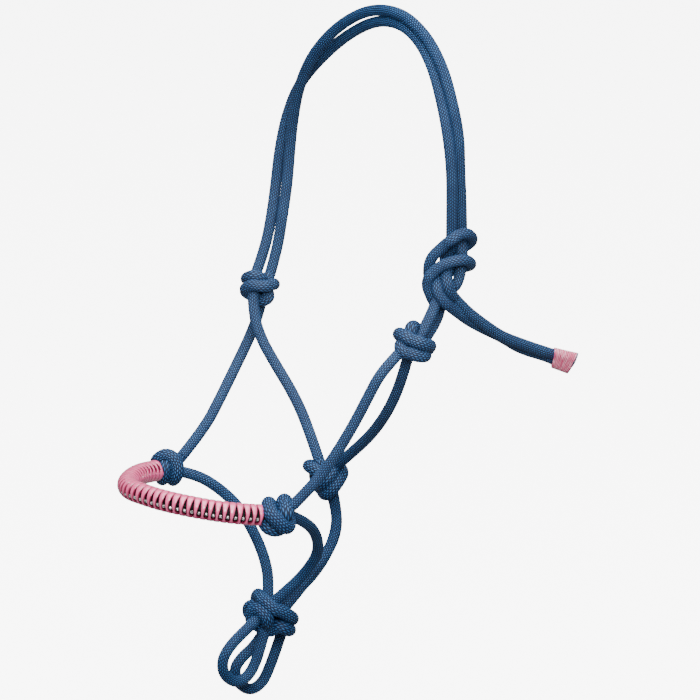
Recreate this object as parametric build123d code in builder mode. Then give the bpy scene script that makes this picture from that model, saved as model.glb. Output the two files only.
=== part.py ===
from build123d import *

# Rope halter for a horse or pony, tied from 8 mm braided rope, with a laced noseband.
# Millimetres. The origin is where the crown rests on the poll. The nose points to -X,
# the horse's left side, where the crown is tied, is -Y, and +Z is up.

import os
from math import cos, pi, radians, sin, tan

# Driving dimensions
ROPE_D = 8.0
ROPE_R = ROPE_D / 2
KNOT_GAP = 0.4  # between a rope's end and a knot on another body
ARC_SHARE = 0.45  # how much of the shorter run each arc may use

CHEEK_KNOT_X = -38.0
CHEEK_KNOT_Y = 91.0
CHEEK_KNOT_Z = -209.0
CHEEK_KNOT_R = 13.5
NOSE_KNOT_X = -137.5
NOSE_KNOT_Y = 64.0
NOSE_KNOT_Z = -323.0
NOSE_KNOT_R = 13.0

TIE_KNOT_HALF_WIDTH = 15.0
TIE_KNOT_HALF_HEIGHT = 28.0
TIE_KNOT_CENTRE = (-2, -86, -159)
TIE_KNOT_UP = (28, 4, 50)  # the tied crown leans back from the cheek

LACING_TURNS = 36
LACING_R = 6.5
LACING_BORE_R = 4.2
LACING_TURN_W = 3.5
STONE_R = 1.2
STONE_TOP_R = 0.8
STONE_FOOT = 5.1  # from the noseband's centreline
STONE_TOP = 6.3
SETTING_WALL = 0.25
SETTING_FOOT = 4.1
SETTING_TOP = 5.9
STONE_CLEARANCE = 0.1  # between a setting and the turns that it is pinched by
STONE_ROW_DROP = 11.0  # degrees below the horizontal, on the noseband's outer side

WHIPPING_LENGTH = 16.0
WHIPPING_WALL = 1.1
END_CAP_THICKNESS = 1.6

# Each round knot: its centre and radius
KNOTS = {
    "far_cheek_knot": ((CHEEK_KNOT_X, CHEEK_KNOT_Y, CHEEK_KNOT_Z), CHEEK_KNOT_R),
    "near_cheek_knot": ((CHEEK_KNOT_X, -CHEEK_KNOT_Y, CHEEK_KNOT_Z), CHEEK_KNOT_R),
    "far_nose_knot": ((NOSE_KNOT_X, NOSE_KNOT_Y, NOSE_KNOT_Z), NOSE_KNOT_R),
    "near_nose_knot": ((NOSE_KNOT_X, -NOSE_KNOT_Y, NOSE_KNOT_Z), NOSE_KNOT_R),
    "throat_knot": ((-48, 0, -330), 14.0),
    "chin_knot": ((-97, 0, -424), 19.0),
}

# Each span of rope: the points of its route, from knot to knot
ROUTES = {
    "crown_rope_upper": [
        (-30, 90, -201), (-23, 91, -184), (-18, 92, -162), (-12, 94, -139), (-9, 95, -115),
        (-9, 91, -89), (-13, 78, -60), (-14, 59, -31), (-7, 38, -7), (-2, 8, 11),
        (2, -24, 15), (4, -50, 4), (3, -71, -14), (2, -84, -37), (2, -92, -62),
        (4, -94, -87), (7, -92, -112), (9, -89, -139),
    ],
    "crown_rope_lower": [
        (-37, 95, -200), (-29, 98, -185), (-20, 102, -163), (-14, 105, -140), (-11, 105, -117),
        (-7, 102, -91), (-3, 93, -66), (-2, 70, -42), (-2, 36, -15), (0, 2, 4),
        (3, -24, 6), (4, -44, -3), (1, -63, -18), (-2, -76, -39), (-4, -84, -62),
        (-3, -87, -87), (-1, -87, -112), (1, -85, -137),
    ],
    "far_cheek_rope": [
        (-33, 95, -218), (-36, 97, -234), (-47, 94, -250), (-64, 88, -267), (-83, 80, -284),
        (-103, 72, -301), (-128, 66, -316),
    ],
    "far_throat_rope": [
        (-49, 86, -211), (-52, 82, -226), (-51, 74, -243), (-48, 60, -260), (-45, 43, -278),
        (-46, 25, -296), (-50, 5, -318),
    ],
    "near_cheek_rope": [
        (-48, -94, -209), (-61, -96, -215), (-71, -94, -226), (-78, -90, -242), (-87, -85, -262),
        (-98, -79, -283), (-110, -72, -303), (-127, -66, -319),
    ],
    "near_throat_rope": [
        (-38, -86, -217), (-39, -81, -233), (-39, -70, -255), (-38, -53, -277), (-38, -32, -298),
        (-43, -7, -320),
    ],
    "throat_chin_rope_front": [
        (-45, -3, -336), (-42, -6, -355), (-46, -10, -372), (-58, -10, -388), (-75, -9, -404),
        (-88, -7, -417),
    ],
    "throat_chin_rope_rear": [
        (-41, 6, -338), (-35, 3, -357), (-39, 0, -376), (-51, 0, -394), (-66, 2, -409),
        (-84, 4, -419),
    ],
    "near_chin_rope": [
        (-130, -64, -325), (-113, -60, -334), (-94, -50, -349), (-82, -38, -369),
        (-83, -26, -386), (-90, -16, -400), (-101, -8, -412),
    ],
    "far_chin_rope": [
        (-133, 62, -325), (-122, 56, -328), (-109, 47, -338), (-98, 37, -352), (-92, 27, -370),
        (-90, 17, -387), (-92, 9, -402), (-97, 4, -415),
    ],
    "lead_loop_front": [
        (-111, -5, -422), (-126, -6, -430), (-139, -7, -438), (-146, -7, -447),
        (-144, -6, -459), (-132, -6, -468), (-121, -6, -464), (-114, -6, -453),
        (-109, -5, -441), (-103, -4, -428),
    ],
    "lead_loop_rear": [
        (-97, 4, -434), (-107, 5, -447), (-119, 6, -454), (-126, 6, -462), (-121, 7, -474),
        (-111, 6, -481), (-100, 6, -477), (-94, 5, -465), (-88, 5, -452), (-83, 4, -438),
    ],
    "eye_loop_front": [(-32, -91, -204), (-24, -91, -193), (-18, -90, -184), (-11, -88, -174)],
    "eye_loop_rear": [
        (-26, -86, -211), (-11, -83, -205), (-1, -81, -196), (4, -80, -183), (4, -82, -169),
    ],
    "tail_rope_upper": [
        (2, -91, -183), (12, -92, -194), (25, -93, -205), (41, -94, -215), (59, -95, -225),
        (79, -96, -234), (102, -97, -244),
    ],
    "tail_rope_lower": [
        (-8, -96, -188), (2, -97, -198), (16, -98, -209), (33, -99, -220), (52, -100, -230),
        (73, -101, -239), (96, -102, -249),
    ],
    "noseband_core": [
        (-139, 64, -321), (-152, 63, -321), (-170, 57, -318), (-186, 47, -316), (-199, 35, -315),
        (-206, 21, -314), (-207, 7, -313), (-203, -10, -314), (-195, -28, -315),
        (-180, -44, -318), (-161, -58, -321), (-136, -64, -325),
    ],
}

# Ropes whose end stops short of a knot, because it turns about that knot
ENDS_AT_JOINT = {
    "crown_rope_upper": ["far_cheek_knot"],
    "crown_rope_lower": ["far_cheek_knot"],
    "eye_loop_front": ["near_cheek_knot"],
    "eye_loop_rear": ["near_cheek_knot"],
    "noseband_core": ["far_nose_knot", "near_nose_knot"],
    "lead_loop_front": ["chin_knot"],
    "lead_loop_rear": ["chin_knot"],
}


def corner_radii(points):
    """The largest arc that each corner's two runs allow."""
    radii = []
    for before, corner, after in zip(points, points[1:], points[2:]):
        run_in = Vector(*corner) - Vector(*before)
        run_out = Vector(*after) - Vector(*corner)
        half_turn = radians(run_in.get_angle(run_out)) / 2
        radii.append(ARC_SHARE * min(run_in.length, run_out.length) / tan(half_turn))
    return radii


def route_wire(points):
    """Straight runs joined by tangent arcs."""
    with BuildLine() as route:
        FilletPolyline(*points, radius=corner_radii(points))
    return route.wires()[0]


def finish(builder, name):
    """Labels a piece and writes its file."""
    builder.part.label = name
    export_step(builder.part, f"parts/{name}.step")


def make_rope(name):
    """One span of rope, cut back from the knots that it turns about."""
    points = ROUTES[name]
    wire = route_wire(points)
    with BuildPart() as rope:
        with BuildSketch(Plane(origin=wire @ 0, z_dir=wire % 0)):
            Circle(ROPE_R)
        sweep(path=wire)
        full_volume = rope.part.volume
        for knot in ENDS_AT_JOINT.get(name, []):
            centre, radius = KNOTS[knot]
            with Locations(centre):
                Sphere(radius + KNOT_GAP, mode=Mode.SUBTRACT)
    radii = ", ".join(f"{r:.0f}" for r in corner_radii(points))
    share = full_volume / (pi * ROPE_R**2 * wire.length)
    print(f"{name}: {wire.length:.0f} mm, volume share {share:.4f}, radii {radii}")
    finish(rope, name)


def make_round_knot(name):
    """A knot as the ball that its turns fill."""
    centre, radius = KNOTS[name]
    with BuildPart() as knot:
        with Locations(centre):
            Sphere(radius)
    finish(knot, name)


def make_tie_knot():
    """The long knot that ties the crown to the eye loop."""
    across = Plane(origin=TIE_KNOT_CENTRE, x_dir=(0, -1, 0), z_dir=Vector(*TIE_KNOT_UP))
    profile = Plane(origin=TIE_KNOT_CENTRE, x_dir=across.x_dir, z_dir=across.y_dir)
    with BuildPart() as knot:
        with BuildSketch(profile):
            Ellipse(TIE_KNOT_HALF_WIDTH, TIE_KNOT_HALF_HEIGHT)
            Rectangle(
                TIE_KNOT_HALF_WIDTH,
                2 * TIE_KNOT_HALF_HEIGHT,
                align=(Align.MAX, Align.CENTER),
                mode=Mode.SUBTRACT,
            )
        revolve(axis=Axis(TIE_KNOT_CENTRE, profile.y_dir))
    finish(knot, "tie_knot")


def noseband_planes(count, first_share, last_share):
    """Planes square to the noseband's rope, evenly spaced, with x_dir pointing outwards."""
    wire = route_wire(ROUTES["noseband_core"])
    planes = []
    for i in range(count):
        share = first_share + (last_share - first_share) * i / (count - 1)
        along = wire.tangent_at(share)
        outwards = Vector(-along.Y, along.X, 0).normalized()
        if outwards.X > 0:
            outwards = outwards * -1
        planes.append(Plane(origin=wire.position_at(share), x_dir=outwards, z_dir=along))
    return planes


def lacing_shares():
    """Where the lacing's first and last turns lie along the noseband's rope."""
    wire = route_wire(ROUTES["noseband_core"])
    knot_cover = (NOSE_KNOT_R + KNOT_GAP + LACING_TURN_W) / wire.length
    return knot_cover, 1 - knot_cover


def stone_planes():
    """One plane for each gap between two turns, facing outwards and a little down."""
    first, last = lacing_shares()
    half_pitch = (last - first) / (LACING_TURNS - 1) / 2
    planes = []
    for section in noseband_planes(LACING_TURNS - 1, first + half_pitch, last - half_pitch):
        drop = radians(STONE_ROW_DROP)
        facing = section.x_dir * cos(drop) - Vector(0, 0, 1) * sin(drop)
        planes.append(Plane(origin=section.origin, x_dir=section.z_dir, z_dir=facing))
    return planes


def make_noseband_lacing():
    """The flat lacing's turns as short sleeves, each narrowed between two settings."""
    first, last = lacing_shares()
    setting_seats = [plane.offset(SETTING_FOOT) for plane in stone_planes()]
    with BuildPart() as lacing:
        with BuildSketch(*noseband_planes(LACING_TURNS, first, last)):
            Circle(LACING_R)
            Circle(LACING_BORE_R, mode=Mode.SUBTRACT)
        extrude(amount=LACING_TURN_W / 2, both=True)
        with BuildSketch(*setting_seats):
            Circle(STONE_R + SETTING_WALL + STONE_CLEARANCE)
        extrude(amount=LACING_R, mode=Mode.SUBTRACT)
    finish(lacing, "noseband_lacing")


def make_stones():
    """The clear stones, as small cones."""
    with BuildPart() as stones:
        for plane in stone_planes():
            with BuildSketch(plane.offset(STONE_FOOT)):
                Circle(STONE_R)
            with BuildSketch(plane.offset(STONE_TOP)):
                Circle(STONE_TOP_R)
            loft()
    finish(stones, "noseband_stones")


def make_settings():
    """The metal cups of the stone chain. Each holds one stone."""
    feet = [plane.offset(SETTING_FOOT) for plane in stone_planes()]
    rims = [plane.offset(STONE_FOOT) for plane in stone_planes()]
    with BuildPart() as settings:
        with BuildSketch(*feet):
            Circle(STONE_R + SETTING_WALL)
        extrude(amount=STONE_FOOT - SETTING_FOOT)
        with BuildSketch(*rims):
            Circle(STONE_R + SETTING_WALL)
            Circle(STONE_R, mode=Mode.SUBTRACT)
        extrude(amount=SETTING_TOP - STONE_FOOT)
    finish(settings, "stone_settings")


def tail_end_plane():
    """The plane across the tail's two rope ends, with x_dir from one rope to the other."""
    upper = ROUTES["tail_rope_upper"]
    lower = ROUTES["tail_rope_lower"]
    along = Vector(*upper[-1]) - Vector(*upper[-2])
    between = Vector(*lower[-1]) - Vector(*upper[-1])
    middle = Vector(*upper[-1]) + between * 0.5
    across = between - along * (between.dot(along) / along.length**2)
    return Plane(origin=middle, x_dir=across, z_dir=along), across.length


def make_tail_whipping():
    """The whipping thread's sleeve round the two rope ends."""
    plane, spacing = tail_end_plane()
    with BuildPart() as whipping:
        with BuildSketch(plane):
            SlotCenterToCenter(spacing, ROPE_D + 2 * WHIPPING_WALL)
            SlotCenterToCenter(spacing, ROPE_D + 0.2, mode=Mode.SUBTRACT)
        extrude(amount=-WHIPPING_LENGTH)
    finish(whipping, "tail_whipping")


def make_tail_end_cap():
    """The melted face that joins the two rope ends."""
    plane, spacing = tail_end_plane()
    with BuildPart() as cap:
        with BuildSketch(plane.offset(ROPE_R / 2)):
            SlotCenterToCenter(spacing, ROPE_D)
        extrude(amount=END_CAP_THICKNESS)
        fillet(cap.faces().sort_by(Axis(plane.origin, plane.z_dir))[-1].edges(), 0.6)
    finish(cap, "tail_end_cap")


os.makedirs("parts", exist_ok=True)
for rope_name in ROUTES:
    make_rope(rope_name)
for knot_name in KNOTS:
    make_round_knot(knot_name)
make_tie_knot()
make_noseband_lacing()
make_stones()
make_settings()
make_tail_whipping()
make_tail_end_cap()
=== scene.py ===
"""The looks of the rope halter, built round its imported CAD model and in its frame.

Routes, knots and trims are in millimetres, and become metres where a mesh is made.
"""

import math

import bpy
import numpy as np
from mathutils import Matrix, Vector


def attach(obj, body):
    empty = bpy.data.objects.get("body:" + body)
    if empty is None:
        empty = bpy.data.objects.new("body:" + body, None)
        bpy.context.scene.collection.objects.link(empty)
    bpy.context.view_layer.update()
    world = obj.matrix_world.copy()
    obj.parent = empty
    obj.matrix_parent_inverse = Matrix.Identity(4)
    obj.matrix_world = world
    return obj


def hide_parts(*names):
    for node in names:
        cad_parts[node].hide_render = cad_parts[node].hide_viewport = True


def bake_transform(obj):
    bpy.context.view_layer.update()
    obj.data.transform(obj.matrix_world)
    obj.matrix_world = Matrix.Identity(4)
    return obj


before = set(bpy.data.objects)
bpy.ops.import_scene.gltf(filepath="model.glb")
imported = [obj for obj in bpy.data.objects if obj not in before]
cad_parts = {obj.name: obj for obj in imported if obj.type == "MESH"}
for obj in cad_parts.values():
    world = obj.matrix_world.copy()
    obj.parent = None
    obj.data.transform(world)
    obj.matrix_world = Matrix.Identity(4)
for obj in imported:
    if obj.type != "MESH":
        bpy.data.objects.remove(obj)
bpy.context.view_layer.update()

MM = 0.001
ROPE_D = 8.0
ROPE_R = ROPE_D / 2

# ---------------------------------------------------------------- camera

# The directions that lie to the right, upwards and towards the viewer in the camera's picture
VIEW_RIGHT = np.array((0.8, -0.6, 0.0))
VIEW_UP = np.array((0.18, 0.24, 0.954))
VIEW_UP /= np.linalg.norm(VIEW_UP)
TO_VIEWER = np.cross(VIEW_RIGHT, VIEW_UP)
LOOK_AT = Vector((-0.0583, -0.0432, -0.2212))
CAMERA_DISTANCE = 10.0
VIEW_WIDTH = 0.5


def make_camera():
    """A long lens far away, because the halter shows almost no perspective."""
    data = bpy.data.cameras.new("camera")
    data.sensor_width = 36
    data.lens = data.sensor_width * CAMERA_DISTANCE / VIEW_WIDTH
    data.clip_start = 1.0
    data.clip_end = 100.0
    camera = bpy.data.objects.new("camera", data)
    bpy.context.scene.collection.objects.link(camera)
    camera.location = LOOK_AT + Vector(TO_VIEWER) * CAMERA_DISTANCE
    camera.rotation_mode = "QUATERNION"
    camera.rotation_quaternion = Vector(-TO_VIEWER).to_track_quat("-Z", "Y")
    bpy.context.scene.camera = camera


make_camera()

# ---------------------------------------------------------------- rope routes

ROUTES = {
    "crown_rope_upper": [
        (-30, 90, -201), (-23, 91, -184), (-18, 92, -162), (-12, 94, -139), (-9, 95, -115), (-9, 91, -89),
        (-13, 78, -60), (-14, 59, -31), (-7, 38, -7), (-2, 8, 11), (2, -24, 15), (4, -50, 4),
        (3, -71, -14), (2, -84, -37), (3, -91, -62), (5, -89, -89), (8, -87, -114), (10, -85, -140),
    ],
    "crown_rope_lower": [
        (-38, 96, -200), (-29, 98, -185), (-21, 101, -163), (-14, 105, -140), (-11, 105, -117),
        (-7, 102, -91), (-3, 93, -66), (-2, 70, -42), (-2, 36, -15), (0, 2, 4), (3, -24, 6), (4, -44, -3),
        (1, -63, -18), (-2, -77, -39), (-4, -87, -61), (-3, -90, -86), (-2, -89, -111), (0, -86, -137),
    ],
    "far_cheek_rope": [
        (-33, 95, -218), (-36, 97, -234), (-47, 94, -250), (-64, 88, -267), (-83, 80, -284),
        (-103, 72, -301), (-128, 66, -316),
    ],
    "far_throat_rope": [
        (-46, 90, -212), (-51, 83, -226), (-51, 74, -243), (-48, 60, -260), (-45, 43, -278),
        (-46, 25, -296), (-50, 5, -318),
    ],
    "near_cheek_rope": [
        (-45, -90, -210), (-60, -95, -216), (-71, -94, -226), (-78, -90, -242), (-87, -85, -262),
        (-98, -79, -283), (-110, -72, -303), (-127, -66, -319),
    ],
    "near_throat_rope": [
        (-38, -86, -217), (-39, -81, -233), (-39, -70, -255), (-38, -53, -277), (-38, -32, -298),
        (-43, -7, -320),
    ],
    "throat_chin_rope_front": [
        (-45, -3, -336), (-42, -6, -355), (-46, -10, -372), (-58, -10, -388), (-75, -9, -404),
        (-88, -7, -417),
    ],
    "throat_chin_rope_rear": [
        (-41, 6, -338), (-35, 3, -357), (-39, 0, -376), (-51, 0, -394), (-66, 2, -409), (-84, 4, -419),
    ],
    "near_chin_rope": [
        (-130, -64, -325), (-113, -60, -334), (-94, -50, -349), (-82, -38, -369), (-83, -26, -386),
        (-90, -16, -400), (-101, -8, -412),
    ],
    "far_chin_rope": [
        (-133, 62, -325), (-122, 56, -328), (-109, 47, -338), (-98, 37, -352), (-92, 27, -370),
        (-90, 17, -387), (-92, 9, -402), (-97, 4, -415),
    ],
    "lead_loop_front": [
        (-111, -5, -422), (-126, -6, -430), (-139, -7, -438), (-146, -7, -447), (-144, -6, -459),
        (-132, -6, -468), (-121, -6, -464), (-114, -6, -453), (-109, -5, -441), (-103, -4, -428),
    ],
    "lead_loop_rear": [
        (-97, 4, -434), (-107, 5, -447), (-119, 6, -454), (-126, 6, -462), (-121, 7, -474), (-111, 6, -481),
        (-100, 6, -477), (-94, 5, -465), (-88, 5, -452), (-83, 4, -438),
    ],
    "eye_loop_front": [(-32, -91, -204), (-23, -90, -193), (-16, -88, -184), (-9, -85, -175)],
    "eye_loop_rear": [
        (-26, -86, -211), (-14, -82, -204), (-5, -79, -194), (-3, -78, -183), (-2, -80, -171),
    ],
    "tail_rope_upper": [
        (-1, -93, -182), (4, -94, -188), (12, -96, -196), (23, -97, -205), (36, -98, -215), (52, -99, -223),
        (73, -100, -233), (86, -100, -238), (100, -99, -244),
    ],
    "tail_rope_lower": [
        (-7, -94, -186), (3, -93, -194), (14, -91, -202), (27, -91, -210), (41, -92, -218), (56, -93, -229),
        (77, -95, -238), (87, -96, -244), (97, -97, -249),
    ],
    "noseband_core": [
        (-139, 64, -321), (-152, 63, -321), (-170, 57, -318), (-186, 47, -316), (-199, 35, -315),
        (-206, 21, -314), (-207, 7, -313), (-203, -10, -314), (-195, -28, -315), (-180, -44, -318),
        (-161, -58, -321), (-136, -64, -325),
    ],
}


def spline_line(points, order=3):
    """The smooth line of a NURBS spline with these control points, in mm."""
    curve = bpy.data.curves.new("line", "CURVE")
    curve.dimensions = "3D"
    curve.resolution_u = 24
    spline = curve.splines.new("NURBS")
    spline.points.add(len(points) - 1)
    for point, place in zip(spline.points, points):
        point.co = (place[0] * MM, place[1] * MM, place[2] * MM, 1)
    spline.order_u = order
    spline.use_endpoint_u = True
    carrier = bpy.data.objects.new("line", curve)
    mesh = bpy.data.meshes.new_from_object(carrier)
    line = np.array([v.co for v in mesh.vertices], float) / MM
    bpy.data.objects.remove(carrier)
    bpy.data.curves.remove(curve)
    bpy.data.meshes.remove(mesh)
    return line


def evenly(line, step):
    """Points the same distance apart along a line, its two ends kept."""
    along = np.concatenate(([0], np.cumsum(np.linalg.norm(np.diff(line, axis=0), axis=1))))
    count = max(2, int(round(along[-1] / step)) + 1)
    stations = np.linspace(0, along[-1], count)
    return np.stack([np.interp(stations, along, line[:, axis]) for axis in range(3)], axis=1)


def line_length(line):
    """How long a line is, in mm."""
    return float(np.linalg.norm(np.diff(line, axis=0), axis=1).sum())


def frames_along(line):
    """Tangents and two side vectors at each point, carried along the line without twist."""
    tangents = np.gradient(line, axis=0)
    tangents /= np.linalg.norm(tangents, axis=1)[:, None]
    side = np.array((0.0, 0.0, 1.0))
    if abs(side @ tangents[0]) > 0.9:
        side = np.array((1.0, 0.0, 0.0))
    sides = []
    for tangent in tangents:
        side = side - tangent * (side @ tangent)
        side = side / np.linalg.norm(side)
        sides.append(side)
    sides = np.array(sides)
    return tangents, sides, np.cross(tangents, sides)


# ---------------------------------------------------------------- braided rope

BRAID_COLUMNS = 18  # columns of stitches round the rope
BRAID_PITCH = 2.3  # from one stitch to the next along a column
BRAID_SLANT = 0.7  # how far a stitch leans along the rope across its column, in stitches
BRAID_STAGGER = 0.25  # how far each column is moved along, one way and the other by turns, in stitches
BRAID_DEPTH = 0.34
BRAID_PROUD = 0.12  # how far the stitches' tops stand out of the rope's nominal surface
END_DOME = 1.2  # how far a tube's rounded ends stand out
RING_STEP = 0.42
RING_POINTS = 72
UNIT_SQUARE = np.array(((0, 0), (1, 0), (1, 1), (0, 1)), float)


def braid_height(turn, along):
    """How high the rope's woven stitches stand, from 0 to 1, at a share of a turn and a length in mm."""
    column = np.floor(turn * BRAID_COLUMNS)
    across = turn * BRAID_COLUMNS - column - 0.5
    lean = 1 - 2 * np.mod(column, 2)
    position = along / BRAID_PITCH + lean * across * BRAID_SLANT + lean * BRAID_STAGGER
    stitch = np.mod(position, 1) - 0.5
    return np.sqrt(np.clip(np.cos(np.pi * across) * np.cos(np.pi * stitch), 0, 1))


def ring_quads(rings, count):
    """The faces between each ring of points and the next, all the way round."""
    ring = np.arange(rings - 1)[:, None] * count
    here = np.arange(count)[None, :]
    following = (here + 1) % count
    corners = (ring + here, ring + following, ring + count + following, ring + count + here)
    return np.stack(corners, axis=-1).reshape(-1, 4)


def tube_mesh(line, radius_at=None, start_along=0.0):
    """A braided tube's points, faces and UVs, with rounded ends. UVs are a share of a turn and mm."""
    rings = evenly(line, RING_STEP)
    tangents, side_a, side_b = frames_along(rings)
    count = len(rings)
    along = start_along + np.arange(count) * line_length(rings) / (count - 1)
    turn = np.arange(RING_POINTS) / RING_POINTS
    turns, lengths = np.meshgrid(turn, along)
    radius = ROPE_R - BRAID_DEPTH * (1 - braid_height(turns, lengths)) + BRAID_PROUD
    if radius_at is not None:
        radius = radius * radius_at(np.linspace(0, 1, count))[:, None]
    angle = turns * 2 * math.pi
    points = (
        rings[:, None, :]
        + (radius * np.cos(angle))[..., None] * side_a[:, None, :]
        + (radius * np.sin(angle))[..., None] * side_b[:, None, :]
    ).reshape(-1, 3)
    u0 = np.broadcast_to(turn, (count - 1, RING_POINTS))
    u1 = u0 + 1 / RING_POINTS
    v0 = np.broadcast_to(along[:-1, None], (count - 1, RING_POINTS))
    v1 = np.broadcast_to(along[1:, None], (count - 1, RING_POINTS))
    uvs = np.stack((u0, v0, u1, v0, u1, v1, u0, v1), axis=-1).reshape(-1, 4, 2)
    domes = [
        (rings[0] - tangents[0] * END_DOME, 0, along[0], False),
        (rings[-1] + tangents[-1] * END_DOME, (count - 1) * RING_POINTS, along[-1], True),
    ]
    tips, fans, fan_uvs = [], [], []
    for index, (tip, first, length, forward) in enumerate(domes):
        tips.append(tip)
        hub = len(points) + index
        for k in range(RING_POINTS):
            a, b = first + k, first + (k + 1) % RING_POINTS
            fans.append((a, b, hub) if forward else (b, a, hub))
            fan_uvs.append([(k / RING_POINTS, length)] * 3)
    return np.vstack((points, tips)), ring_quads(count, RING_POINTS), uvs, fans, fan_uvs


def mesh_object(name, parts, material, smooth=True):
    """One object from several tubes or shells, each given as points, quads, their UVs, fans and theirs."""
    points, loops, starts, totals, uvs = [], [], [], [], []
    offset = 0
    cursor = 0
    for part_points, quads, quad_uvs, fans, fan_uvs in parts:
        points.append(part_points)
        for faces, face_uvs in ((np.array(quads, int), quad_uvs), (np.array(fans, int), fan_uvs)):
            if len(faces) == 0:
                continue
            size = faces.shape[1]
            loops.append((faces + offset).ravel())
            starts.append(cursor + np.arange(len(faces)) * size)
            totals.append(np.full(len(faces), size))
            uvs.append(np.array(face_uvs, float).reshape(-1, 2))
            cursor += faces.size
        offset += len(part_points)
    mesh = bpy.data.meshes.new(name)
    vertices = np.vstack(points) * MM
    mesh.vertices.add(len(vertices))
    mesh.vertices.foreach_set("co", vertices.astype(np.float32).ravel())
    loops = np.concatenate(loops)
    mesh.loops.add(len(loops))
    mesh.loops.foreach_set("vertex_index", loops.astype(np.int32))
    starts = np.concatenate(starts)
    mesh.polygons.add(len(starts))
    mesh.polygons.foreach_set("loop_start", starts.astype(np.int32))
    mesh.polygons.foreach_set("loop_total", np.concatenate(totals).astype(np.int32))
    mesh.update(calc_edges=True)
    mesh.validate()
    layer = mesh.uv_layers.new(name="UVMap")
    layer.data.foreach_set("uv", np.vstack(uvs).astype(np.float32).ravel())
    mesh.polygons.foreach_set("use_smooth", np.full(len(mesh.polygons), smooth))
    mesh.materials.append(material)
    made = bpy.data.objects.new(name, mesh)
    bpy.context.scene.collection.objects.link(made)
    return made


# ---------------------------------------------------------------- materials


class Nodes:
    """Short calls for building a material's node tree."""

    def __init__(self, name):
        self.material = bpy.data.materials.new(name)
        self.material.use_nodes = True
        self.tree = self.material.node_tree
        self.tree.nodes.clear()
        self.output = self.tree.nodes.new("ShaderNodeOutputMaterial")
        self.shader = self.tree.nodes.new("ShaderNodeBsdfPrincipled")
        self.tree.links.new(self.shader.outputs[0], self.output.inputs["Surface"])

    def put(self, socket, value):
        """Links a socket to another one, or sets its constant."""
        if isinstance(value, bpy.types.NodeSocket):
            self.tree.links.new(value, socket)
        else:
            socket.default_value = value

    def new(self, kind, inputs=None, **settings):
        """A node of this kind, with its settings, and its inputs linked or set."""
        node = self.tree.nodes.new(kind)
        for key, value in settings.items():
            setattr(node, key, value)
        for key, value in (inputs or {}).items():
            self.put(node.inputs[key], value)
        return node

    def math(self, operation, a, b=0.0, c=0.0):
        node = self.new("ShaderNodeMath", {0: a, 1: b, 2: c}, operation=operation)
        return node.outputs[0]

    def mix(self, share, a, b):
        node = self.new("ShaderNodeMix", data_type="RGBA")
        self.put(node.inputs[0], share)
        self.put(node.inputs[6], a)
        self.put(node.inputs[7], b)
        return node.outputs[2]

    def ramp(self, value, low, high, at_low=0.0, at_high=1.0):
        """A value that goes from at_low to at_high while another goes from low to high."""
        node = self.new("ShaderNodeMapRange", {"Value": value, 1: low, 2: high, 3: at_low, 4: at_high})
        return node.outputs[0]

    def noise(self, vector, scale, detail=2.0):
        node = self.new("ShaderNodeTexNoise", {"Vector": vector, "Scale": scale, "Detail": detail})
        return node.outputs["Fac"]

    def set(self, **values):
        """The surface's own inputs, named with underscores for spaces."""
        for key, value in values.items():
            self.put(self.shader.inputs[key.replace("_", " ")], value)

    def bump(self, height, distance, strength=1.0):
        node = self.new("ShaderNodeBump", {"Height": height, "Distance": distance, "Strength": strength})
        self.put(self.shader.inputs["Normal"], node.outputs[0])


def srgb(red, green, blue):
    """A linear RGBA colour from sRGB bytes."""
    linear = []
    for value in (red, green, blue):
        share = value / 255
        linear.append(share / 12.92 if share < 0.04045 else ((share + 0.055) / 1.055) ** 2.4)
    return (*linear, 1.0)


PAINTED_LIGHT_SHARE = 0.03  # the share of painted light, a pale colour that lightens the halter's sides
PAINTED_LIGHT_STARTS = (-0.34, -0.27)  # the heights, in metres, where it starts, above the noseband
PAINTED_LIGHT_ENDS = (-0.08, 0.0)  # and where it ends, below the poll


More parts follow.
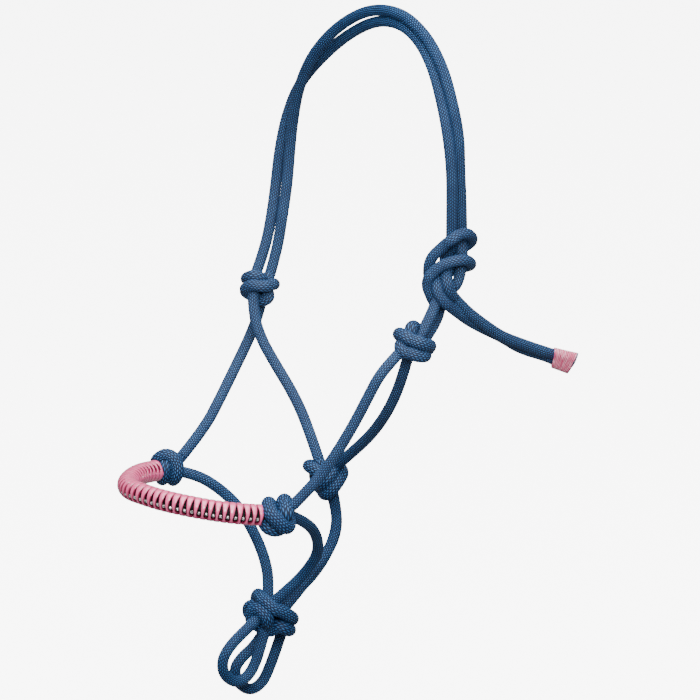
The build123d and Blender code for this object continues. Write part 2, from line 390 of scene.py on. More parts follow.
def rope_material(name, painted_crest_highlight, body, painted_groove_shade, painted_side_light):
    """Braided polyester: leaning stitches in columns round the rope, each of a few fine yarns.

    Each stitch goes from painted shade in its grooves to the body's colour and a painted highlight on its
    crest. The halter's sides are lightened with painted light.
    """
    n = Nodes(name)
    uv = n.new("ShaderNodeTexCoord").outputs["UV"]
    place = n.new("ShaderNodeTexCoord").outputs["Object"]
    split = n.new("ShaderNodeSeparateXYZ", {"Vector": uv})
    turn = n.math("MULTIPLY", split.outputs[0], BRAID_COLUMNS)
    column = n.math("FLOOR", turn)
    across = n.math("SUBTRACT", n.math("SUBTRACT", turn, column), 0.5)
    lean = n.math("SUBTRACT", 1.0, n.math("MULTIPLY", n.math("PINGPONG", column, 1.0), 2.0))
    shift = n.math("MULTIPLY", n.math("MULTIPLY", lean, across), BRAID_SLANT)
    shift = n.math("MULTIPLY_ADD", lean, BRAID_STAGGER, shift)
    position = n.math("ADD", n.math("DIVIDE", split.outputs[1], BRAID_PITCH), shift)
    stitch = n.math("SUBTRACT", n.math("FRACT", position), 0.5)
    hump_a = n.math("COSINE", n.math("MULTIPLY", across, math.pi))
    hump_b = n.math("COSINE", n.math("MULTIPLY", stitch, math.pi))
    height = n.math("SQRT", n.math("MAXIMUM", n.math("MULTIPLY", hump_a, hump_b), 0.0))
    slant_way = n.math("MULTIPLY", n.math("MULTIPLY", lean, stitch), 0.6)
    yarns = n.math("SINE", n.math("MULTIPLY", n.math("ADD", across, slant_way), 2 * math.pi * 4))
    yarn_share = n.math("MULTIPLY_ADD", yarns, 0.5, 0.5)
    patches = n.noise(place, 90.0, 3.0)
    specks = n.noise(place, 900.0, 2.0)
    # Painted shade darkens each stitch towards its grooves, and a painted highlight lightens its crest in
    # patches.
    tone = n.mix(n.ramp(height, 0.4, 1.0), painted_groove_shade, body)
    painted_glint = n.math("MULTIPLY", n.ramp(height, 0.78, 1.0), n.math("MULTIPLY_ADD", patches, 1.1, 0.05))
    tone = n.mix(painted_glint, tone, painted_crest_highlight)
    fine = n.math("MULTIPLY_ADD", yarn_share, 0.22, 0.86)
    fine = n.math("MULTIPLY", fine, n.math("MULTIPLY_ADD", specks, 0.35, 0.84))
    # Painted light: the sides between the noseband and the poll are made paler.
    level = n.new("ShaderNodeSeparateXYZ", {"Vector": place}).outputs[2]
    above_noseband = n.ramp(level, *PAINTED_LIGHT_STARTS)
    below_poll = n.ramp(level, *PAINTED_LIGHT_ENDS, 1.0, 0.0)
    sides = n.math("MULTIPLY", above_noseband, below_poll)
    tone = n.mix(n.math("MULTIPLY", sides, PAINTED_LIGHT_SHARE), tone, painted_side_light)
    shade = n.new("ShaderNodeVectorMath", {0: tone}, operation="SCALE")
    n.put(shade.inputs["Scale"], fine)
    n.set(Base_Color=shade.outputs[0], Roughness=0.55, Specular_IOR_Level=0.22)
    relief = n.math("ADD", n.math("MULTIPLY", height, 1.0), n.math("MULTIPLY", yarn_share, 0.12))
    n.bump(relief, 0.00035, 0.6)
    return n.material


# Colours: painted highlight on the crests, the body, painted shade in the grooves, and painted light on the
# sides.
rope_blue = rope_material(
    "rope_blue", srgb(76, 134, 190), srgb(6, 56, 108), srgb(0, 6, 18), srgb(150, 156, 172)
)
# The noseband's core, which shows only as darkness between the turns of lacing
rope_shadow = rope_material("rope_shadow", srgb(20, 14, 20), srgb(8, 5, 8), srgb(2, 1, 2), srgb(8, 5, 8))


def lacing_material():
    """Flat plastic-coated lacing: glossy pink, with fine ribs along it and painted shade that deepens the
    colour at its edges.
    """
    n = Nodes("lacing_pink")
    uv = n.new("ShaderNodeTexCoord").outputs["UV"]
    place = n.new("ShaderNodeTexCoord").outputs["Object"]
    split = n.new("ShaderNodeSeparateXYZ", {"Vector": uv})
    ribs = n.math("SINE", n.math("MULTIPLY", split.outputs[1], 2 * math.pi * 9))
    edge_shade = n.math("ABSOLUTE", n.math("MULTIPLY_ADD", split.outputs[1], 2.0, -1.0))
    edge_shade = n.math("POWER", edge_shade, 3.0)
    patches = n.noise(place, 160.0, 3.0)
    tone = n.mix(patches, srgb(212, 56, 116), srgb(240, 110, 156))
    # Painted shade: each turn's colour deepens towards its edges, where it tucks into the gaps.
    tone = n.mix(n.math("MULTIPLY", edge_shade, 0.85), tone, srgb(104, 6, 40))
    n.set(Base_Color=tone, Roughness=0.24, Coat_Weight=1.0, Coat_Roughness=0.12)
    relief = n.math("ADD", n.math("MULTIPLY", ribs, 0.5), n.math("MULTIPLY", patches, 0.8))
    n.bump(relief, 0.00006, 0.5)
    return n.material


def thread_material():
    """Pink whipping thread with painted shade between its turns, the twist of its yarns, and paler streaks
    on the turns' tops that are partly fray and partly painted highlight.
    """
    n = Nodes("whipping_pink")
    uv = n.new("ShaderNodeTexCoord").outputs["UV"]
    split = n.new("ShaderNodeSeparateXYZ", {"Vector": uv})
    twist = n.math("MULTIPLY_ADD", split.outputs[0], 70.0, n.math("MULTIPLY", split.outputs[1], 3.0))
    yarn = n.math("MULTIPLY_ADD", n.math("SINE", n.math("MULTIPLY", twist, 2 * math.pi)), 0.5, 0.5)
    valley_shade = n.math("FRACT", split.outputs[1])
    valley_shade = n.math("ABSOLUTE", n.math("MULTIPLY_ADD", valley_shade, 2.0, -1.0))
    # Painted shade in the valleys between the thread's turns.
    tone = n.mix(n.math("POWER", valley_shade, 1.5), srgb(230, 70, 124), srgb(84, 2, 28))
    round_thread = n.math("MULTIPLY", split.outputs[0], 6.0)
    along_whipping = n.math("MULTIPLY", split.outputs[1], 1.9)
    streaks = n.new("ShaderNodeCombineXYZ", {0: round_thread, 1: along_whipping}).outputs[0]
    # Pale streaks on the turns' tops: partly fray, partly painted highlight.
    fray_and_highlight = n.ramp(n.noise(streaks, 1.0), 0.46, 0.62)
    tone = n.mix(n.math("MULTIPLY", fray_and_highlight, n.math("SUBTRACT", 1.0, valley_shade)), tone, srgb(255, 196, 214))
    tone = n.mix(n.math("MULTIPLY", yarn, 0.1), tone, srgb(250, 170, 196))
    n.set(Base_Color=tone, Roughness=0.5, Sheen_Weight=0.4, Sheen_Roughness=0.35)
    n.bump(yarn, 0.00008, 0.6)
    return n.material


def setting_material():
    """Plated metal with faint scratches and a little tarnish."""
    n = Nodes("setting_metal")
    place = n.new("ShaderNodeTexCoord").outputs["Object"]
    scratches = n.noise(place, 4000.0, 4.0)
    tarnish = n.noise(place, 700.0, 2.0)
    tone = n.mix(tarnish, srgb(150, 148, 146), srgb(84, 82, 80))
    rough = n.math("MULTIPLY_ADD", scratches, 0.2, 0.14)
    n.set(Base_Color=tone, Metallic=1.0, Roughness=rough)
    n.bump(scratches, 0.00001, 0.4)
    return n.material


def stone_material():
    """Foil-backed clear glass: facets with painted reflections, dark and white in patches, and a faint
    painted glow.
    """
    n = Nodes("stone_clear")
    place = n.new("ShaderNodeTexCoord").outputs["Object"]
    painted_sparkle = n.noise(place, 1500.0, 1.0)
    # Painted reflections: facet-sized patches of dark grey and white.
    tone = n.mix(n.ramp(painted_sparkle, 0.42, 0.58), srgb(70, 74, 78), srgb(255, 255, 255))
    n.set(Base_Color=tone, Metallic=0.8, Roughness=0.05, Coat_Weight=1.0, Coat_Roughness=0.02)
    # Painted glow: the stones shine a little themselves.
    n.set(Emission_Color=tone, Emission_Strength=0.15)
    n.bump(painted_sparkle, 0.00002, 0.2)
    return n.material


def melted_material():
    """Rope ends melted together into a dark hard skin."""
    n = Nodes("melted_end")
    place = n.new("ShaderNodeTexCoord").outputs["Object"]
    lumps = n.noise(place, 500.0, 5.0)
    tone = n.mix(lumps, srgb(22, 34, 52), srgb(74, 92, 116))
    rough = n.math("MULTIPLY_ADD", lumps, 0.35, 0.25)
    n.set(Base_Color=tone, Roughness=rough, Coat_Weight=0.3, Coat_Roughness=0.3)
    n.bump(lumps, 0.0006, 0.6)
    return n.material


lacing_pink = lacing_material()
whipping_pink = thread_material()
setting_metal = setting_material()
stone_clear = stone_material()
melted_end = melted_material()

# ---------------------------------------------------------------- the free spans of rope

# Each span's body, and its length in mm from knot to knot
SPANS = {
    "crown_rope_upper": ("crown", 466),
    "crown_rope_lower": ("crown", 453),
    "eye_loop_front": ("crown", 37),
    "eye_loop_rear": ("crown", 51),
    "far_cheek_rope": ("cheeks", 144),
    "far_throat_rope": ("cheeks", 137),
    "near_cheek_rope": ("cheeks", 142),
    "near_throat_rope": ("cheeks", 132),
    "throat_chin_rope_front": ("cheeks", 99),
    "throat_chin_rope_rear": ("cheeks", 103),
    "near_chin_rope": ("cheeks", 129),
    "far_chin_rope": ("cheeks", 125),
    "lead_loop_front": ("lead_loops", 121),
    "lead_loop_rear": ("lead_loops", 118),
    "tail_rope_upper": ("tail", 118),
    "tail_rope_lower": ("tail", 122),
    "noseband_core": ("noseband", 207),
}
WHIPPED_SQUEEZE = 0.12

# Spans at a joint: the knot's body there and two places in mm, which are not used; these spans stay
# unattached in the frame.
BENDS = {
    "crown_rope_upper": ("cheeks", (-38, 91, -209), (-22, 92, -176)),
    "crown_rope_lower": ("cheeks", (-38, 91, -209), (-22, 94, -176)),
    "eye_loop_front": ("cheeks", (-38, -91, -209), (-18, -89, -181)),
    "eye_loop_rear": ("cheeks", (-38, -91, -209), (-18, -89, -181)),
    "lead_loop_front": ("cheeks", (-100, 0, -428), (-117, 0, -451)),
    "lead_loop_rear": ("cheeks", (-100, 0, -428), (-117, 0, -451)),
    "tail_rope_upper": ("crown", (-2, -93, -184), (22, -95, -205)),
    "tail_rope_lower": ("crown", (-2, -93, -184), (22, -95, -205)),
}


def metres(points):
    return [tuple(float(x) * MM for x in point) for point in points]


def whipped_thickness(share):
    """A tail rope's thickness, as a share of the free rope's: the whipping squeezes its last quarter."""
    return 1 - WHIPPED_SQUEEZE * np.clip((share - 0.75) / 0.15, 0, 1)


def make_span(name):
    """One free span of rope, on its CAD body, or left unattached where it meets a knot at a joint."""
    body, length = SPANS[name]
    line = spline_line(ROUTES[name])
    material = rope_shadow if name == "noseband_core" else rope_blue
    squeezed = whipped_thickness if body == "tail" else None
    span = mesh_object(name + "_braid", [tube_mesh(line, squeezed)], material)
    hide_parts(name)
    if name in BENDS:
        knot_body, start, end = BENDS[name]
        start, end = metres([start, end])
        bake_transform(span)
    else:
        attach(span, body)
    return span


for span_name in SPANS:
    make_span(span_name)

# ---------------------------------------------------------------- knots

# Each knot's body, centre and reach, how much thicker its strands look where they are pressed, and its
# strands, in mm from the centre: right, up and towards the viewer.
# Each starts and ends at the end of a span, named with 0 for its first point and 1 for its last.
# The tie knot is loose, so it reaches further than its strands ever go.
KNOTS = {
    "far_cheek_knot": ("cheeks", (-38, 91, -209), 11.0, 0.05, [
        (("crown_rope_lower", 0),
         [(-3, 3, 0), (-5, -2, 2)],
         ("far_throat_rope", 0)),
        (("crown_rope_upper", 0),
         [(4, 4, 0), (2, -2, 0), (5, -7, 1), (7, -12, 3), (2, -13, 2), (-2, -9, -4), (-8, -6, 1),
          (-8, -3, 6), (-4, -1, 10), (1, -1, 11), (6, -1, 8), (6, 1, -2), (2, 3, -9), (-5, 4, -7),
          (-9, 3, -1), (-8, 5, 5), (-6, 7, 7), (0, 5, 6), (3, 1, 1), (2, -3, -5)],
         ("far_cheek_rope", 0)),
    ]),
    "near_cheek_knot": ("cheeks", (-38, -91, -209), 12.0, 0.16, [
        (("eye_loop_front", 0),
         [(1, 1, 1)],
         ("near_cheek_rope", 0)),
        (("eye_loop_rear", 0),
         [(6, 9, -9), (1, 15, -3), (-1, 15, 3), (-2, 10, 5), (-4, 3, 3), (-7, -1, 2), (-8, -4, 6),
          (-2, -6, 10), (5, -9, 9), (9, -8, 4), (10, -5, -2), (5, -1, -9), (-4, 3, -9), (-10, 7, -3),
          (-9, 7, 3), (-4, 4, 9), (3, 2, 11), (8, 0, 9), (11, -2, 3), (9, -3, -6), (2, -5, -7)],
         ("near_throat_rope", 0)),
    ]),
    "throat_knot": ("cheeks", (-48, 0, -330), 14.0, 0.14, [
        (("far_throat_rope", 1),
         [(-3, 4, 0), (1, 0, -5)],
         ("throat_chin_rope_rear", 0)),
        (("near_throat_rope", 1),
         [(3, 2, 9), (-2, -6, 7), (-4, -6, -1), (0, -2, -8), (4, 4, -9), (9, 8, -5), (12, 6, 1), (11, 0, 6),
          (6, -6, 9), (1, -12, 6), (-2, -11, -1), (-2, -5, -8), (-3, 4, -8), (-10, 9, -5), (-15, 9, 0),
          (-9, 8, 4), (-2, 5, 5), (3, 0, 3), (4, -3, 0)],
         ("throat_chin_rope_front", 0)),
    ]),
    "far_nose_knot": ("cheeks", (-137.5, 64, -323), 11.0, 0.2, [
        (("far_cheek_rope", 1),
         [(2, 7, -9), (-5, -1, -10), (-7, -7, -3), (-7, -8, 4), (-6, -2, 9), (-5, 4, 9), (-6, 8, 3),
          (-9, 8, -4), (-13, 6, -1), (-12, 8, 4), (-6, 10, 7), (-1, 9, 8), (4, 4, 8), (4, -2, 8),
          (2, -7, 5), (0, -7, -2), (0, -3, -8), (3, 2, -7)],
         ("far_chin_rope", 0)),
    ]),
    "near_nose_knot": ("cheeks", (-137.5, -64, -323), 12.5, 0.32, [
        (("near_cheek_rope", 1),
         [(3, 3, -8), (-5, 0, -8), (-10, -3, -3), (-10, -8, 3), (-5, -12, 4), (2, -11, 0), (3, -6, -6),
          (3, 0, -9), (5, 4, -7), (5, 5, 0), (5, 2, 7), (6, -1, 8), (5, -4, 4), (2, -5, -1),
          (-3, 0, -6), (-6, 5, -7), (-7, 8, 0), (-7, 5, 7), (-6, 0, 11), (-1, -5, 11), (4, -9, 8),
          (7, -9, 1), (6, -4, -5)],
         ("near_chin_rope", 0)),
    ]),
    "chin_knot": ("cheeks", (-97, 0, -424), 16.5, 0.18, [
        (("near_chin_rope", 1),
         [(-2, 4, 8), (-9, 4, 10), (-15, 6, 4), (-17, 2, -2), (-13, -3, 3)],
         ("lead_loop_front", 0)),
        (("far_chin_rope", 1),
         [(-2, 3, -4), (4, -4, -6), (12, -8, -4), (17, -14, 1), (13, -12, 8), (7, -8, 10), (0, -8, 6),
          (-7, -6, 4), (-11, -1, 8), (-9, 4, 13), (-6, 2, 17), (-5, -3, 16), (-3, -7, 11)],
         ("lead_loop_front", 1)),
        (("throat_chin_rope_front", 1),
         [(8, 0, 0), (0, -4, -6), (-8, 2, -10), (-11, 10, -6), (-9, 16, 1), (-10, 13, 9), (-3, 8, 15),
          (5, 4, 16), (12, 0, 13), (17, -3, 5), (12, -6, -8), (3, -6, -8)],
         ("lead_loop_rear", 0)),
        (("throat_chin_rope_rear", 1),
         [(4, 2, -12), (3, -5, -14)],
         ("lead_loop_rear", 1)),
    ]),
    "tie_knot": ("crown", (-2, -86, -159), 60.0, 0.0, [
        (("crown_rope_upper", 1),
         [(9, 12, -2), (9, 4, -3), (8, -3, -2), (7, -9, -1), (4, -15, -1), (-1, -20, -5), (-9, -17, -8),
          (-14, -9, -5), (-15, -2, 0), (-14, 4, 4), (-11, 9, 6), (-6, 13, 8), (-2, 17, 10), (3, 21, 11),
          (8, 24, 11), (13, 24, 8), (16, 22, 2), (14, 18, -5), (8, 13, -9), (1, 6, -6), (-2, -1, 1),
          (-2, -6, 6), (-2, -12, 8), (0, -17, 7)],
         ("tail_rope_upper", 0)),
        (("crown_rope_lower", 1),
         [(3, 13, -3), (1, 4, -6), (-4, -6, -10), (-6, -16, -11), (-8, -24, -7), (-12, -24, -2),
          (-14, -18, 2), (-14, -12, 4), (-13, -7, 6), (-11, -3, 8), (-7, 0, 9), (-3, 2, 10), (2, 4, 11),
          (8, 5, 11), (13, 5, 7), (15, 3, 1), (12, 1, -5), (5, -1, -8), (-3, -3, -5), (-8, -6, 0),
          (-10, -10, 4), (-9, -17, 6), (-6, -22, 6), (-2, -26, 4)],
         ("tail_rope_lower", 0)),
        (("eye_loop_front", 1),
         [(-6, -12, -12), (-4, -9, -14)],
         ("eye_loop_rear", 1)),
    ]),
}
KNOT_STEP = 1.6  # from one point of a strand to the next
KNOT_PRESS = 7.8  # how close two strands of a tight knot press together
KNOT_ROUNDS = 220
KNOT_PUSH = 0.8  # how much of an overlap each round takes away
KNOT_SMOOTH = 0.3  # how strongly each point moves to the middle of its neighbours
KNOT_HOLD = 0.12  # how strongly each strand keeps to its planned line
KNOT_GATHER = 0.3  # how strongly points out of the knot's reach come back
HELD_POINTS = 3  # points at each end of a strand that never move
FREE_ALONG = 12.0  # a strand can't touch itself nearer than this along its length
STUB = 2.5  # how far a strand runs straight on from its span
BRAID_SHIFT = 17.0  # how far the braid is moved along from one strand of a knot to the next


def span_end(name, which):
    """A span's end and the direction that it leaves its knot in."""
    points = np.array(ROUTES[name], float)
    if which:
        points = points[::-1]
    leaving = points[1] - points[0]
    return points[0], leaving / np.linalg.norm(leaving)


def from_knot(centre, place):
    """A place given from a knot's centre as right, up and towards the viewer, in the frame."""
    right, up, near = place
    return np.array(centre, float) + right * VIEW_RIGHT + up * VIEW_UP + near * TO_VIEWER


def strand_line(centre, strand):
    """A strand's smooth line, running straight into the spans at its two ends."""
    first, middle, last = strand
    start, out_of_start = span_end(*first)
    end, out_of_end = span_end(*last)
    points = [start, start - out_of_start * STUB]
    points += [from_knot(centre, place) for place in middle]
    points += [end - out_of_end * STUB, end]
    return spline_line(points)


def relax(lines, centre, reach):
    """Tightens a knot's strands: they push apart where they press and stay within reach of the centre."""
    lines = [evenly(line, KNOT_STEP) for line in lines]
    counts = [np.arange(len(line)) for line in lines]
    owner = np.concatenate([np.full(len(count), i) for i, count in enumerate(counts)])
    order = np.concatenate(counts)
    from_end = np.concatenate([np.minimum(count, count[::-1]) for count in counts])
    points = np.vstack(lines)
    planned = points.copy()
    near_along = (owner[:, None] == owner[None, :]) & (
        np.abs(order[:, None] - order[None, :]) * KNOT_STEP < FREE_ALONG
    )
    inner = from_end >= HELD_POINTS
    for _ in range(KNOT_ROUNDS):
        apart = points[:, None, :] - points[None, :, :]
        distance = np.linalg.norm(apart, axis=2) + 1e-9
        press = np.where(near_along, 0, np.clip(KNOT_PRESS - distance, 0, None))
        push = (apart / distance[..., None] * press[..., None]).sum(axis=1)
        touching = np.maximum((press > 0).sum(axis=1), 1)[:, None]
        move = KNOT_PUSH * push / touching
        middle = np.zeros_like(points)
        middle[1:-1] = (points[:-2] + points[2:]) / 2 - points[1:-1]
        move += KNOT_SMOOTH * middle
        move += KNOT_HOLD * (planned - points)
        out = points - np.array(centre, float)
        far = np.linalg.norm(out, axis=1) + 1e-9
        move -= out / far[:, None] * (KNOT_GATHER * np.clip(far - reach, 0, None))[:, None]
        points[inner] += move[inner]
    return [points[owner == i] for i in range(len(lines))]


def thickness(thicker):
    """A pressed strand's thickness along it, as a share of the free rope's."""
    return lambda share: 1 + thicker * np.clip(np.minimum(share, 1 - share) / 0.12, 0, 1)


def make_knot(name):
    """One knot: its strands, tightened together, on the body that its CAD node belongs to."""
    body, centre, reach, thicker, strands = KNOTS[name]
    lines = relax([strand_line(centre, strand) for strand in strands], centre, reach)
    tubes = [tube_mesh(line, thickness(thicker), BRAID_SHIFT * i) for i, line in enumerate(lines)]
    knot = mesh_object(name + "_strands", tubes, rope_blue)
    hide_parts(name)
    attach(knot, body)
    return knot


for knot_name in KNOTS:
    make_knot(knot_name)

# ---------------------------------------------------------------- the laced noseband

LACING_TURNS = 36
LACING_R = 7.8  # at the middle of a turn
LACING_EDGE_R = 7.3  # at a turn's edges
LACING_INNER_R = 5.3  # where the edges tuck under
TURN_OVERLAP = 0.1
TURN_STEPS = 96
KNOT_COVER = 16.9  # from the core's end to the first turn's middle
GAP_WIDEST = 3.5
GAP_TOP = 76.0  # these are degrees round the noseband, from its outer side upwards
GAP_MIDDLE = -24.0
GAP_BOTTOM = -58.0
STONE_ROW = -14.0
SLIT = 3.0  # the thin gaps on the far half's inner side
SLIT_MIDDLE = 148.0
SLIT_REACH = 38.0
STONE_R = 1.15
STONE_CUTS = 8
STONE_FOOT = 6.2  # this and the next are heights above the core's middle
STONE_TOP = 7.55
SETTING_WALL = 0.25
SETTING_FOOT = 4.2
SETTING_STEPS = 48

core = evenly(spline_line(ROUTES["noseband_core"]), 0.25)
core_length = line_length(core)
core_along = np.linspace(0, core_length, len(core))
core_tangents = np.gradient(core, axis=0)
core_tangents /= np.linalg.norm(core_tangents, axis=1)[:, None]
first_turn = KNOT_COVER
last_turn = core_length - KNOT_COVER
pitch = (last_turn - first_turn) / (LACING_TURNS - 1)


def section_at(along):
    """The core's centre, direction, outward side and upward side at lengths along it."""
    along = np.asarray(along, float)
    centre = np.stack([np.interp(along, core_along, core[:, i]) for i in range(3)], axis=-1)
    tangent = np.stack([np.interp(along, core_along, core_tangents[:, i]) for i in range(3)], axis=-1)
    tangent /= np.linalg.norm(tangent, axis=-1, keepdims=True)
    outward = np.stack((-tangent[..., 1], tangent[..., 0], np.zeros_like(along)), axis=-1)
    outward /= np.linalg.norm(outward, axis=-1, keepdims=True)
    outward = np.where(outward[..., :1] > 0, -outward, outward)
    upward = np.cross(tangent, outward)
    upward = np.where(upward[..., 2:] < 0, -upward, upward)
    return centre, tangent, outward, upward


def gap_between_turns(angle, share):
    """The gap's width at an angle round the noseband, where share is how far along the noseband it is."""
    above = np.clip((GAP_TOP - angle) / (GAP_TOP - GAP_MIDDLE), 0, 1) * (angle >= GAP_MIDDLE)
    below = np.clip((angle - GAP_BOTTOM) / (GAP_MIDDLE - GAP_BOTTOM), 0, 1) * (angle < GAP_MIDDLE)
    stones = GAP_WIDEST * (above ** 0.85 + below ** 0.5)
    far_half = np.clip((0.32 - share) / 0.22, 0, 1) ** 0.7
    slit = SLIT * far_half * np.clip(1 - ((angle - SLIT_MIDDLE) / SLIT_REACH) ** 2, 0, 1)
    return stones + slit


def lacing_turn(index):
    """One flat turn: full width where it touches its neighbours, and pinched at the stones."""
    middle = first_turn + pitch * index
    steps = TURN_STEPS
    angle_deg = -180 + 360 * np.arange(steps) / steps
    share = index / (LACING_TURNS - 1)
    gap = gap_between_turns(angle_deg, share) - TURN_OVERLAP
    across = np.array((-1.0, -1.0, -0.88, -0.6, -0.3, 0.0, 0.3, 0.6, 0.88, 1.0, 1.0))
    half = (pitch - gap) / 2
    radius = LACING_R - (LACING_R - LACING_EDGE_R) * np.abs(across) ** 4
    radius[0] = radius[-1] = LACING_INNER_R
    along = middle + half[:, None] * across[None, :]
    centre, _, outward, upward = section_at(along)
    angle = np.radians(angle_deg)[:, None, None]
    way = outward * np.cos(angle) + upward * np.sin(angle)
    points = (centre + way * radius[None, :, None]).reshape(-1, 3)
    columns = len(across)
    i = np.arange(steps)[:, None]
    j = np.arange(columns)[None, :]
    i_next, j_next = (i + 1) % steps, (j + 1) % columns
    a, b, c, d = (i * columns + j, i_next * columns + j, i_next * columns + j_next, i * columns + j_next)
    quads = np.stack(np.broadcast_arrays(a, b, c, d), axis=-1).reshape(-1, 4)
    u0 = np.broadcast_to(i / steps, (steps, columns))
    v0 = np.broadcast_to((across[None, :] + 1) / 2, (steps, columns))
    v1 = np.broadcast_to((np.roll(across, -1)[None, :] + 1) / 2, (steps, columns))
    u1 = u0 + 1 / steps
    uvs = np.stack((u0, v0, u1, v0, u1, v1, u0, v1), axis=-1).reshape(-1, 4, 2)
    return points, quads, uvs, [], []


def stone_axes(along):
    """The core's middle and direction at a stone, the way that the stone faces, and the way across it."""
    centre, tangent, outward, upward = (x[0] for x in section_at([along]))
    drop = math.radians(STONE_ROW)
    facing = outward * math.cos(drop) + upward * math.sin(drop)
    return centre, tangent, facing, np.cross(facing, tangent)


def gem_shell(along):
    """A brilliant-cut stone: table, crown facets, girdle and pavilion, at a place along the core."""
    centre, tangent, facing, side = stone_axes(along)
    levels = [
        (0.56 * STONE_R, STONE_TOP, 0.5),
        (0.82 * STONE_R, STONE_TOP - 0.28, 0.0),
        (STONE_R, STONE_TOP - 0.62, 0.5),
        (STONE_R, STONE_TOP - 0.74, 0.5),
        (0.5 * STONE_R, STONE_FOOT - 0.1, 0.0),
    ]
    cuts = STONE_CUTS
    points = []
    for radius, height, shift in levels:
        for k in range(cuts):
            angle = 2 * math.pi * (k + shift) / cuts
            across = tangent * math.cos(angle) + side * math.sin(angle)
            points.append(centre + facing * height + radius * across)
    points.append(centre + facing * STONE_TOP)
    points.append(centre + facing * (STONE_FOOT - 0.5))
    table, culet = len(points) - 2, len(points) - 1
    fans = []
    for level in range(len(levels) - 1):
        twist = int(round(levels[level][2] * 2)) - int(round(levels[level + 1][2] * 2))
        for k in range(cuts):
            a, b = level * cuts + k, level * cuts + (k + 1) % cuts
            c, d = a + cuts, b + cuts
            if twist == -1:
                fans += [(a, c, b), (b, c, d)]
            else:
                fans += [(a, c, d), (a, d, b)]
    last = (len(levels) - 1) * cuts
    for k in range(cuts):
        fans.append((table, k, (k + 1) % cuts))
        fans.append((culet, last + (k + 1) % cuts, last + k))
    uvs = [[(0, 0), (1, 0), (0, 1)]] * len(fans)
    return np.array(points), np.zeros((0, 4)), np.zeros((0, 4, 2)), fans, uvs


def setting_shell(along):
    """A cup with four claws that hold the stone's edge."""
    centre, tangent, facing, side = stone_axes(along)
    steps = SETTING_STEPS
    angle = 2 * math.pi * np.arange(steps) / steps
    claw = np.clip(np.cos(4 * (angle - math.pi / 4)), 0, 1) ** 3
    outer = STONE_R + SETTING_WALL
    rim = STONE_TOP - 0.85 + 0.75 * claw
    lean = 0.3 * claw
    levels = [
        (np.full(steps, 0.4), np.full(steps, SETTING_FOOT)),
        (np.full(steps, outer * 0.82), np.full(steps, SETTING_FOOT)),
        (np.full(steps, outer), np.full(steps, SETTING_FOOT + 0.45)),
        (np.full(steps, outer), np.full(steps, STONE_TOP - 1.0)),
        (outer - 0.02 - lean * 0.5, rim),
        (outer - 0.16 - lean, rim + 0.05),
        (STONE_R - 0.02 - lean, rim - 0.12),
        (np.full(steps, STONE_R * 0.9), np.full(steps, STONE_FOOT - 0.1)),
        (np.full(steps, 0.4), np.full(steps, STONE_FOOT - 0.4)),
    ]
    across = tangent[None, :] * np.cos(angle)[:, None] + side[None, :] * np.sin(angle)[:, None]
    rings = []
    for radius, height in levels:
        rings.append(centre + facing[None, :] * height[:, None] + across * radius[:, None])
    quads = ring_quads(len(levels), steps)
    return np.vstack(rings), quads, np.tile(UNIT_SQUARE, (len(quads), 1, 1)), [], []


def make_noseband():
    """The lacing's turns, and the stone chain that they hold down along the noseband's outer side."""
    turns = [lacing_turn(i) for i in range(LACING_TURNS)]
    lacing = mesh_object("noseband_lacing_turns", turns, lacing_pink)
    between = [first_turn + pitch * (i + 0.5) for i in range(LACING_TURNS - 1)]
    stones = mesh_object("noseband_stones_cut", [gem_shell(a) for a in between], stone_clear, smooth=False)
    settings = mesh_object("stone_settings_claws", [setting_shell(a) for a in between], setting_metal)
    for piece, node, slot_name in (
        (lacing, "noseband_lacing", "lacing_pink"),
        (stones, "noseband_stones", "stone_clear"),
        (settings, "stone_settings", "setting_metal"),
    ):
        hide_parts(node)
        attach(piece, "noseband")


make_noseband()

# ---------------------------------------------------------------- the tail's whipped end

WHIPPING_LENGTH = 20.0
WHIPPING_WALL = 1.1
THREAD_TURNS = 13
THREAD_GROOVE = 0.7  # how deep the grooves between the thread's turns are
ROWS_PER_TURN = 8
WHIPPED_ROPE_R = 3.6
ROPES_SET_BACK = 1.6  # from the cut to the ropes inside it
FLARE = 0.11  # how much wider the whipped ends spread at the cut, as a share of their width
CUT_SLANT = 0.28  # how far the cut end leans back for each mm down across it
INNER_SLANT = -0.26  # the same for the whipping's inner end, which leans the other way
WOUND_SLANT = -1.0  # how far each turn of thread leans over, for each mm nearer the viewer
WHIPPING_POINTS = 96
# The melted end's heights beyond the cut, and how far out of the ropes' sides it stands at each
CAP_PROFILE = [(-1.5, 0.3), (0.1, 0.9), (0.7, 0.95), (1.1, 0.6), (1.3, -0.3), (1.3, -1.6), (1.1, -3.0)]


def tail_end():
    """The middle of the two rope ends, their direction, the way from one to the other, and their spacing."""
    upper = np.array(ROUTES["tail_rope_upper"], float)
    lower = np.array(ROUTES["tail_rope_lower"], float)
    along = upper[-1] - upper[-2]
    along /= np.linalg.norm(along)
    between = lower[-1] - upper[-1]
    middle = upper[-1] + between / 2 + along * ROPES_SET_BACK
    across = between - along * (between @ along)
    spacing = np.linalg.norm(across)
    return middle, along, across / spacing, spacing


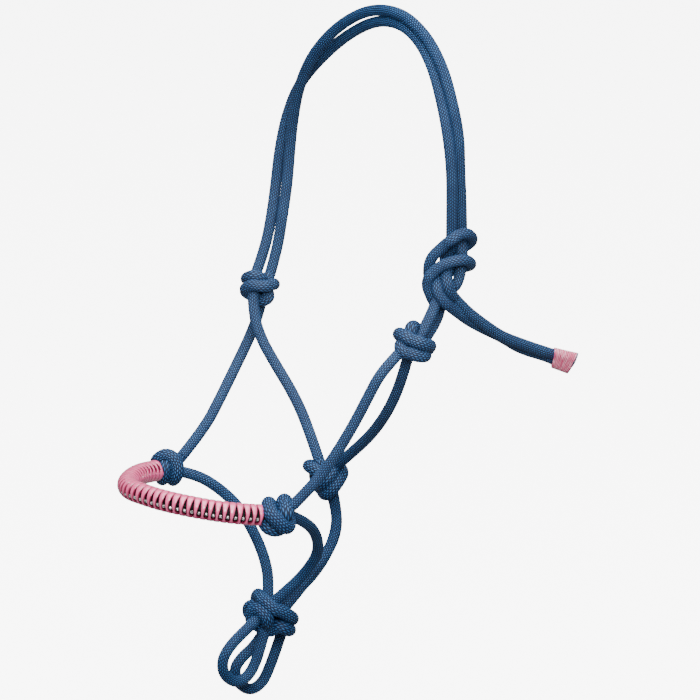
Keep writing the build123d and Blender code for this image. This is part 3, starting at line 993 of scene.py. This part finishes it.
def slot_outline(radius, spacing, count):
    """Points round two circles side by side, as (across, beside), with the way out from each."""
    straight = spacing
    curved = math.pi * radius
    total = 2 * (straight + curved)
    places, ways = [], []
    for k in range(count):
        s = (k / count) * total
        if s < straight:
            place, way = (-spacing / 2 + s, radius), (0, 1)
        elif s < straight + curved:
            turn = (s - straight) / radius
            way = (math.sin(turn), math.cos(turn))
            place = (spacing / 2 + radius * way[0], radius * way[1])
        elif s < 2 * straight + curved:
            place, way = (spacing / 2 - (s - straight - curved), -radius), (0, -1)
        else:
            turn = (s - 2 * straight - curved) / radius
            way = (-math.sin(turn), -math.cos(turn))
            place = (-spacing / 2 + radius * way[0], radius * way[1])
        places.append(place)
        ways.append(way)
    return np.array(places), np.array(ways)


def wound_slant(out):
    """How far along the ropes the tilted winding shifts a place that lies this far out from their middle."""
    return WOUND_SLANT * (out @ TO_VIEWER)[:, None]


def make_whipping():
    """Thread wound tightly round both rope ends, in one layer."""
    middle, along, across, spacing = tail_end()
    beside = np.cross(along, across)
    places, ways = slot_outline(WHIPPED_ROPE_R, spacing, WHIPPING_POINTS)
    rows = THREAD_TURNS * ROWS_PER_TURN
    share = np.arange(WHIPPING_POINTS) / WHIPPING_POINTS
    rings = []
    for row in range(rows + 1):
        wound = row / ROWS_PER_TURN + share
        swell = np.abs(np.sin(np.pi * wound)) ** 0.6
        thick = WHIPPING_WALL - THREAD_GROOVE * (1 - swell)
        if row == 0:
            thick = np.full(WHIPPING_POINTS, 0.1)
        if row == rows:
            thick = np.full(WHIPPING_POINTS, -WHIPPED_ROPE_R * 0.6)
        flat = (places + ways * thick[:, None]) * (1 + FLARE * (1 - row / rows))
        out = flat[:, :1] * across + flat[:, 1:] * beside
        lean = CUT_SLANT + (INNER_SLANT - CUT_SLANT) * row / rows
        slant = wound_slant(out) + lean * out[:, 2:]
        rings.append(middle + along * (slant - WHIPPING_LENGTH * row / rows) + out)
    quads = ring_quads(rows + 1, WHIPPING_POINTS)
    row_share = 1 / ROWS_PER_TURN
    u0 = np.broadcast_to(share, (rows, WHIPPING_POINTS))
    v0 = np.arange(rows)[:, None] / ROWS_PER_TURN + u0
    u1 = u0 + 1 / WHIPPING_POINTS
    v1 = v0 + 1 / WHIPPING_POINTS
    uvs = np.stack((u0, v0, u1, v1, u1, v1 + row_share, u0, v0 + row_share), axis=-1).reshape(-1, 4, 2)
    shell = (np.vstack(rings), quads, uvs, [], [])
    whipping = mesh_object("tail_whipping_thread", [shell], whipping_pink)
    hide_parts("tail_whipping")
    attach(whipping, "tail")


def make_end_cap():
    """The two rope ends melted into one lumpy face."""
    middle, along, across, spacing = tail_end()
    beside = np.cross(along, across)
    places, ways = slot_outline(WHIPPED_ROPE_R, spacing, WHIPPING_POINTS)
    rings = []
    turned = np.arange(WHIPPING_POINTS) / WHIPPING_POINTS * 2 * math.pi
    for height, outset in CAP_PROFILE:
        lumps = 0.14 * np.sin(5 * turned + height) + 0.1 * np.sin(11 * turned - 2 * height)
        sag = 0.25 * np.sin(3 * turned + 2 * height) * (height > 1)
        flat = (places + ways * (outset + lumps)[:, None]) * (1 + FLARE)
        out = flat[:, :1] * across + flat[:, 1:] * beside
        slant = wound_slant(out) + CUT_SLANT * out[:, 2:]
        rings.append(middle + along * (slant + height + sag[:, None]) + out)
    quads = np.roll(ring_quads(len(CAP_PROFILE), WHIPPING_POINTS)[:, ::-1], 1, axis=1)
    uvs = np.tile(UNIT_SQUARE, (len(quads), 1, 1))
    last = (len(CAP_PROFILE) - 1) * WHIPPING_POINTS
    hub = last + WHIPPING_POINTS
    points = np.vstack((*rings, middle + along * CAP_PROFILE[-1][0]))
    fans = [(last + k, hub, last + (k + 1) % WHIPPING_POINTS) for k in range(WHIPPING_POINTS)]
    fan_uvs = [[(0, 0), (1, 0), (0, 1)]] * WHIPPING_POINTS
    cap = mesh_object("tail_end_melted", [(points, quads, uvs, fans, fan_uvs)], melted_end)
    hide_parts("tail_end_cap")
    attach(cap, "tail")


make_whipping()
make_end_cap()

# ---------------------------------------------------------------- floor and light

FLOOR_Z = -0.53


def make_floor():
    """A plain pale floor that shines a little itself, so it shows no shadow."""
    mesh = bpy.data.meshes.new("floor")
    reach = 30.0
    corners = [(-reach, -reach), (reach, -reach), (reach, reach), (-reach, reach)]
    mesh.from_pydata([(x, y, FLOOR_Z) for x, y in corners], [], [(0, 1, 2, 3)])
    n = Nodes("floor")
    n.set(Base_Color=(0.94, 0.94, 0.94, 1.0), Roughness=0.9)
    n.set(Emission_Color=(1.0, 1.0, 1.0, 1.0), Emission_Strength=6.0)
    mesh.materials.append(n.material)
    floor = bpy.data.objects.new("floor", mesh)
    bpy.context.scene.collection.objects.link(floor)
    floor.visible_diffuse = False  # no light bounces up from it, so the undersides stay dark
    floor.visible_glossy = False


def make_area_light(name, place, size, power):
    """A soft square light that faces the middle of the halter."""
    data = bpy.data.lights.new(name, "AREA")
    data.shape = "SQUARE"
    data.size = size
    data.energy = power
    light = bpy.data.objects.new(name, data)
    light.location = Vector(place)
    light.rotation_mode = "QUATERNION"
    light.rotation_quaternion = (LOOK_AT - Vector(place)).to_track_quat("-Z", "Y")
    bpy.context.scene.collection.objects.link(light)


def make_light():
    """An even surround, a broad soft light from above and a smaller key from the viewer's side."""
    world = bpy.data.worlds.new("world")
    world.use_nodes = True
    background = world.node_tree.nodes["Background"]
    background.inputs[0].default_value = (1.0, 1.0, 1.0, 1.0)
    background.inputs[1].default_value = 0.34
    bpy.context.scene.world = world
    make_area_light("overhead", (-0.3, -0.4, 2.4), 3.0, 205.0)
    make_area_light("key", (-1.1, -1.5, 0.9), 0.9, 62.0)


make_floor()
make_light()
